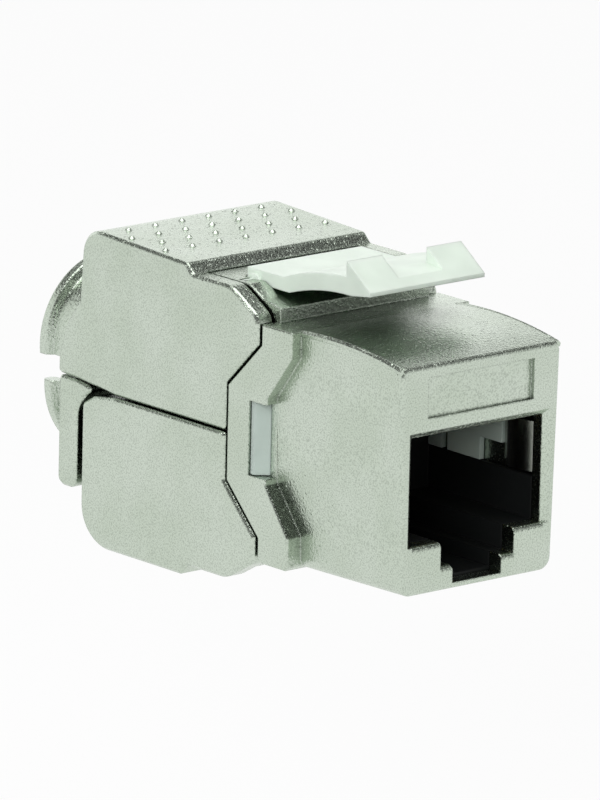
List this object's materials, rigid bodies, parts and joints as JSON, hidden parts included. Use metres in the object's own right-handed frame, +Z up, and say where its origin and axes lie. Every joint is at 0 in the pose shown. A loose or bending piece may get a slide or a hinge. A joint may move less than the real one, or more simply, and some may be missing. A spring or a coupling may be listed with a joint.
{
  "type": "keystone jack",
  "caption": "Shielded network jack for a keystone opening, with a die-cast shell, a snap-in latch, hinged wiring covers and a rear cable collar.",
  "frame": {"origin": "midway along the bottom edge of the port face, in the plane of that face", "axes": "+Y from the port face to the cable collar, +Z up with the latch on top, X across the jack"},
  "size_m": [0.017, 0.0415, 0.0254],
  "materials": {
    "plated_zinc": "satin nickel plate on die-cast zinc, fine cast grain",
    "latch_plastic": "moulded milky plastic",
    "white_plastic": "moulded pale plastic",
    "black_plastic": "moulded black plastic",
    "board_laminate": "green solder mask on glass laminate",
    "gold_contact": "gold plate",
    "tinned_bronze": "tin plate",
    "spring_steel": "plated spring strip"
  },
  "bodies": {
    "housing": {"front_housing": "plated_zinc", "port_liner": "black_plastic", "contact_carrier": "white_plastic", "circuit_board": "board_laminate", "idc_block": "black_plastic", "wire_manager": "white_plastic", "ground_spring_left": "spring_steel", "ground_spring_right": "spring_steel", "contact_1": "gold_contact", "contact_2": "gold_contact", "contact_3": "gold_contact", "contact_4": "gold_contact", "contact_5": "gold_contact", "contact_6": "gold_contact", "contact_7": "gold_contact", "contact_8": "gold_contact", "idc_terminal_1": "tinned_bronze", "idc_terminal_2": "tinned_bronze", "idc_terminal_3": "tinned_bronze", "idc_terminal_4": "tinned_bronze", "idc_terminal_5": "tinned_bronze", "idc_terminal_6": "tinned_bronze", "idc_terminal_7": "tinned_bronze", "idc_terminal_8": "tinned_bronze"},
    "upper_cover": {"upper_cover": "plated_zinc"},
    "lower_cover": {"lower_cover": "plated_zinc", "rear_saddle": "plated_zinc"},
    "latch": {"latch": "latch_plastic"}
  },
  "joints": [
    {"name": "upper_cover_hinge", "type": "hinge", "parent": "housing", "child": "upper_cover", "pos_m": [0, 0.0167, 0.0166], "axis": [1, 0, 0], "range_deg": [0, 80]},
    {"name": "lower_cover_hinge", "type": "hinge", "parent": "housing", "child": "lower_cover", "pos_m": [0, 0.0167, 0.0007], "axis": [-1, 0, 0], "range_deg": [0, 80]},
    {"name": "latch_press", "type": "hinge", "parent": "housing", "child": "latch", "pos_m": [0, 0.0184, 0.01895], "axis": [1, 0, 0], "range_deg": [0, 7], "stiffness_Nm_per_rad": 0.03, "springref_deg": -2.86}
  ]
}
